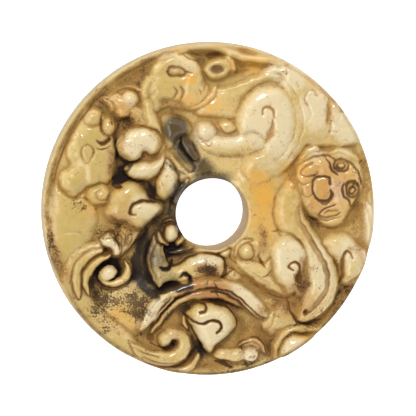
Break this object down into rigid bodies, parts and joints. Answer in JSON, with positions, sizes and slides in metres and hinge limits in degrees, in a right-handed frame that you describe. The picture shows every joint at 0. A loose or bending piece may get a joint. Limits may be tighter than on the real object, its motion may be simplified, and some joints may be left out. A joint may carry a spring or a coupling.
{
  "type": "jade bi disc",
  "caption": "Thick round jade disc with a central hole, its face carved in high relief with coiling chi dragons and its back plain.",
  "frame": {"origin": "centre of the disc's outline, on the underside that it lies on", "axes": "+Z out of the carved face, +Y towards the large dragon's head, +X to the right seen from the carved face"},
  "size_m": [0.06, 0.06, 0.01],
  "materials": {
    "jade": "polished, slightly translucent, cream to honey yellow, with brown and ink-dark staining in the cut ground"
  },
  "bodies": {
    "root": {"bi_disc": "jade"}
  },
  "joints": []
}
